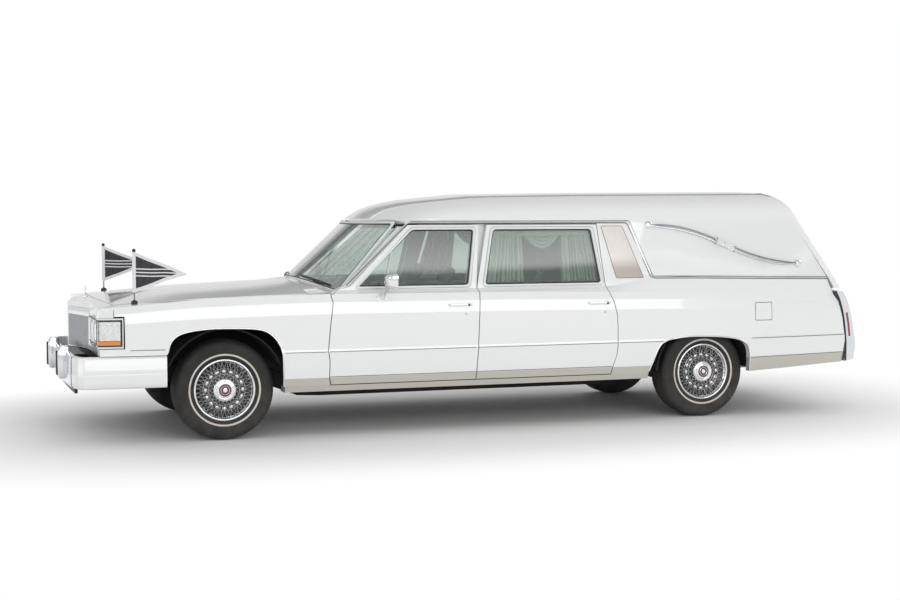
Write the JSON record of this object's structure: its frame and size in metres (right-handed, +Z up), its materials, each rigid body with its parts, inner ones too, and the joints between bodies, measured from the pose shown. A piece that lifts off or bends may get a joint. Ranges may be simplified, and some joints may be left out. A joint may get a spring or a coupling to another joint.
{
  "type": "hearse",
  "caption": "Long funeral car with a high closed roof, side doors, a tail door, opening hood, steered and spinning wheels, a load deck and fender pennants.",
  "frame": {"origin": "centre of the car's footprint on the ground", "axes": "+X forward, +Y to the car's left, +Z up"},
  "size_m": [6.105, 2.25, 1.715],
  "materials": {
    "paint_white": "gloss",
    "chrome": "polished",
    "rubber": "matte",
    "green_glass": "clear tint",
    "black_underbody": "matte",
    "cast_iron": "rough",
    "sage_cloth": "sheer",
    "dark_trim": "matte",
    "deck_panel": "satin",
    "pennant_cloth": "matte",
    "lamp_lens": "clear"
  },
  "bodies": {
    "car": {"frame": "black_underbody", "underbody": "black_underbody", "roof": "paint_white", "tail_frame": "paint_white", "nose_panel": "paint_white", "cowl": "paint_white", "windshield": "green_glass", "grille": "chrome", "front_bumper": "chrome", "rear_bumper": "chrome", "radiator_support": "black_underbody", "engine": "cast_iron", "exhaust": "cast_iron", "fuel_tank": "black_underbody", "rear_axle": "cast_iron", "dashboard": "dark_trim", "front_seat": "dark_trim", "load_deck": "deck_panel", "body_side_left": "paint_white", "body_side_right": "paint_white", "fender_left": "paint_white", "fender_right": "paint_white", "headlamp_left": "lamp_lens", "headlamp_right": "lamp_lens", "tail_lamp_left": "chrome", "tail_lamp_right": "chrome", "landau_bar_left": "chrome", "landau_bar_right": "chrome", "flag_staff_left": "dark_trim", "flag_staff_right": "dark_trim", "pennant_left": "pennant_cloth", "pennant_right": "pennant_cloth"},
    "front_door_body_left": {"front_door_left": "paint_white", "front_door_glass_left": "green_glass", "mirror_left": "chrome"},
    "rear_door_body_left": {"rear_door_left": "paint_white", "rear_door_glass_left": "green_glass", "drape_left": "sage_cloth"},
    "steering_left": {"knuckle_left": "cast_iron"},
    "front_wheel_body_left": {"front_wheel_left": "chrome", "front_tyre_left": "rubber"},
    "rear_wheel_body_left": {"rear_wheel_left": "chrome", "rear_tyre_left": "rubber"},
    "front_door_body_right": {"front_door_right": "paint_white", "front_door_glass_right": "green_glass", "mirror_right": "chrome"},
    "rear_door_body_right": {"rear_door_right": "paint_white", "rear_door_glass_right": "green_glass", "drape_right": "sage_cloth"},
    "steering_right": {"knuckle_right": "cast_iron"},
    "front_wheel_body_right": {"front_wheel_right": "chrome", "front_tyre_right": "rubber"},
    "rear_wheel_body_right": {"rear_wheel_right": "chrome", "rear_tyre_right": "rubber"},
    "hood_body": {"hood": "paint_white"},
    "tail_door_body": {"tail_door": "paint_white", "tail_glass": "green_glass"},
    "fuel_lid_body": {"fuel_lid": "paint_white"}
  },
  "joints": [
    {"name": "front_door_hinge_left", "type": "hinge", "parent": "car", "child": "front_door_body_left", "pos_m": [1.2705, 0.972, 0.7], "axis": [0, 0, -1], "range_deg": [0, 65]},
    {"name": "rear_door_hinge_left", "type": "hinge", "parent": "car", "child": "rear_door_body_left", "pos_m": [0.1745, 0.972, 0.7], "axis": [0, 0, -1], "range_deg": [0, 65]},
    {"name": "steer_left", "type": "hinge", "parent": "car", "child": "steering_left", "pos_m": [1.9775, 0.7, 0.345], "axis": [0, 0, 1], "range_deg": [-30, 30]},
    {"name": "front_wheel_spin_left", "type": "hinge", "parent": "steering_left", "child": "front_wheel_body_left", "pos_m": [1.9775, 0.78, 0.345], "axis": [0, 1, 0], "continuous": true},
    {"name": "rear_wheel_spin_left", "type": "hinge", "parent": "car", "child": "rear_wheel_body_left", "pos_m": [-1.6875, 0.765, 0.345], "axis": [0, 1, 0], "continuous": true},
    {"name": "front_door_hinge_right", "type": "hinge", "parent": "car", "child": "front_door_body_right", "pos_m": [1.2705, -0.972, 0.7], "axis": [0, 0, 1], "range_deg": [0, 65]},
    {"name": "rear_door_hinge_right", "type": "hinge", "parent": "car", "child": "rear_door_body_right", "pos_m": [0.1745, -0.972, 0.7], "axis": [0, 0, 1], "range_deg": [0, 65]},
    {"name": "steer_right", "type": "hinge", "parent": "car", "child": "steering_right", "pos_m": [1.9775, -0.7, 0.345], "axis": [0, 0, 1], "range_deg": [-30, 30]},
    {"name": "front_wheel_spin_right", "type": "hinge", "parent": "steering_right", "child": "front_wheel_body_right", "pos_m": [1.9775, -0.78, 0.345], "axis": [0, 1, 0], "continuous": true},
    {"name": "rear_wheel_spin_right", "type": "hinge", "parent": "car", "child": "rear_wheel_body_right", "pos_m": [-1.6875, -0.765, 0.345], "axis": [0, 1, 0], "continuous": true},
    {"name": "hood_hinge", "type": "hinge", "parent": "car", "child": "hood_body", "pos_m": [1.3805, 0, 1.072], "axis": [0, -1, 0], "range_deg": [0, 55]},
    {"name": "tail_door_hinge", "type": "hinge", "parent": "car", "child": "tail_door_body", "pos_m": [-2.9225, 0.7, 1.1], "axis": [0, 0, -1], "range_deg": [0, 88]},
    {"name": "fuel_lid_hinge", "type": "hinge", "parent": "car", "child": "fuel_lid_body", "pos_m": [-2.0925, 0.95607, 0.798], "axis": [0, 0.0714, -0.9974], "range_deg": [0, 100]}
  ],
  "couplings": [
    {"joint": "steer_right", "follows": "steer_left", "ratio": 1}
  ]
}
